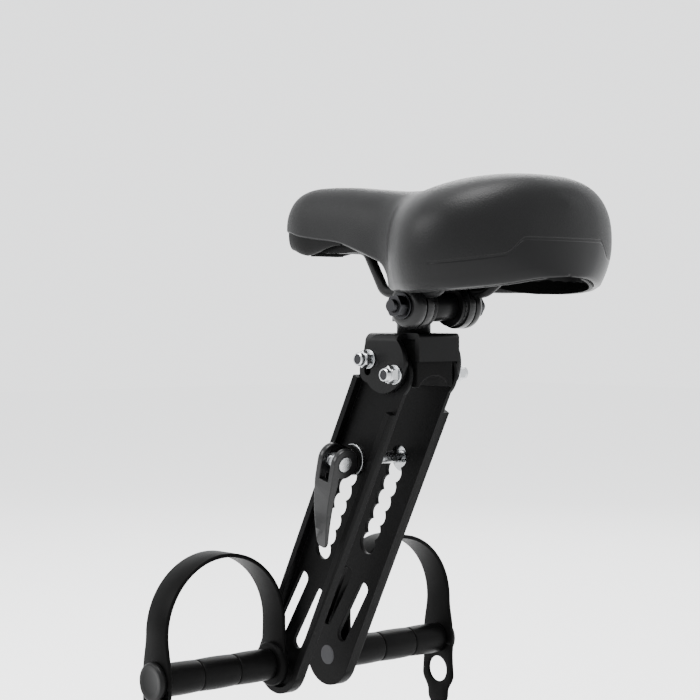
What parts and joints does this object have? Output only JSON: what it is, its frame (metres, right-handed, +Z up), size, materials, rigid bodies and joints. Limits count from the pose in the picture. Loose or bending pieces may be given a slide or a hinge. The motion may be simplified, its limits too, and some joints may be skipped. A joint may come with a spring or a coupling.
{
  "type": "kids bike saddle",
  "caption": "Child seat for a bicycle's top tube: padded saddle on a rail clamp and short post, tube bracket, slotted swinging legs with a cam lever, foot pegs with rubber straps.",
  "frame": {"origin": "on the axis of the bicycle's top tube, below the axis of the seat post", "axes": "+X along the top tube to the rear of the bicycle, +Y to its right side, +Z up along the seat post"},
  "size_m": [0.2621, 0.269, 0.3761],
  "materials": {
    "cover": "fine-grained black polyurethane leather, semi-gloss",
    "shell": "moulded black nylon, satin",
    "black_steel": "satin black powder coat on pressed steel",
    "leg_black": "satin black powder coat on cast alloy",
    "zinc": "bright zinc plate",
    "pad_rubber": "moulded black rubber, matt",
    "grip_rubber": "moulded black rubber, matt with a fine sheen",
    "cap_plastic": "moulded black rubber, smooth",
    "strap_rubber": "stretchy black rubber, satin"
  },
  "bodies": {
    "mount_bracket": {"bracket": "black_steel", "tube_pad": "pad_rubber", "stub_post": "black_steel", "post_band": "black_steel"},
    "clamp_head": {"clamp_stud": "zinc", "clamp_inner_cheeks": "black_steel", "clamp_outer_cups": "black_steel", "clamp_washers": "zinc", "clamp_nuts": "black_steel"},
    "saddle": {"saddle_cover": "cover", "saddle_base": "shell", "saddle_rails": "black_steel"},
    "legs": {"leg_left": "leg_black", "leg_right": "leg_black", "leg_bolts": "zinc", "leg_washers": "zinc", "leg_nuts": "zinc", "peg_core_left": "zinc", "peg_core_right": "zinc", "peg_bolts": "zinc", "peg_grip_left": "grip_rubber", "peg_grip_right": "grip_rubber", "peg_cap_left": "cap_plastic", "peg_cap_right": "cap_plastic", "foot_strap_left": "strap_rubber", "foot_strap_right": "strap_rubber"},
    "skewer": {"skewer_rod": "zinc", "skewer_nut": "black_steel", "skewer_washers": "zinc", "cam_cushion": "shell", "barrel_pin": "zinc"},
    "lever": {"cam_lever": "leg_black"}
  },
  "joints": [
    {"name": "saddle_tilt", "type": "hinge", "parent": "mount_bracket", "child": "clamp_head", "pos_m": [0.021, 0, 0.0624], "axis": [0, 1, 0], "range_deg": [-10, 10]},
    {"name": "saddle_slide", "type": "slide", "parent": "clamp_head", "child": "saddle", "axis": [1, 0, 0], "range_m": [-0.004, 0.005]},
    {"name": "leg_angle", "type": "hinge", "parent": "mount_bracket", "child": "legs", "pos_m": [0.0101, 0, 0.0184], "axis": [0, 1, 0], "range_deg": [-17, 4]},
    {"name": "skewer_slide", "type": "slide", "parent": "legs", "child": "skewer", "axis": [-0.4524, 0, -0.8918], "range_m": [0, 0.069]},
    {"name": "cam_lever", "type": "hinge", "parent": "skewer", "child": "lever", "pos_m": [-0.03359, -0.0375, -0.03867], "axis": [-0.9659, 0, 0.2588], "range_deg": [0, 150]}
  ]
}
